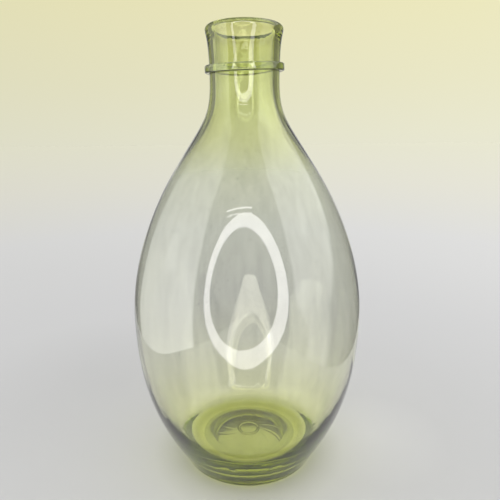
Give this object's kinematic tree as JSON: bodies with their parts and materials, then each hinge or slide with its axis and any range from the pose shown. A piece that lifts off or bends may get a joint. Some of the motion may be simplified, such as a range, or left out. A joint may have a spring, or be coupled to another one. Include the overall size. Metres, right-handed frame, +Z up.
{
  "type": "demijohn",
  "caption": "Free-blown green glass demijohn for storing and pouring liquids: egg-shaped body on a pushed-up base, straight neck, tooled lip and applied string ring.",
  "frame": {"origin": "centre of the base on the ground plane", "axes": "+Z up along the bottle's axis, towards the mouth; the view in the picture looks along +Y with +X to the right"},
  "size_m": [0.1852, 0.1852, 0.35],
  "materials": {
    "bottle_glass": "clear yellow-green blown glass, fire-polished, thin in the body and thicker in the neck, lip, heel and base",
    "ring_glass": "clear yellow-green glass trail, smooth and slightly uneven",
    "scar_glass": "broken yellow-green glass, sharp and uneven"
  },
  "bodies": {
    "root": {"bottle": "bottle_glass", "neck_ring": "ring_glass", "pontil_scar": "scar_glass"}
  },
  "joints": []
}
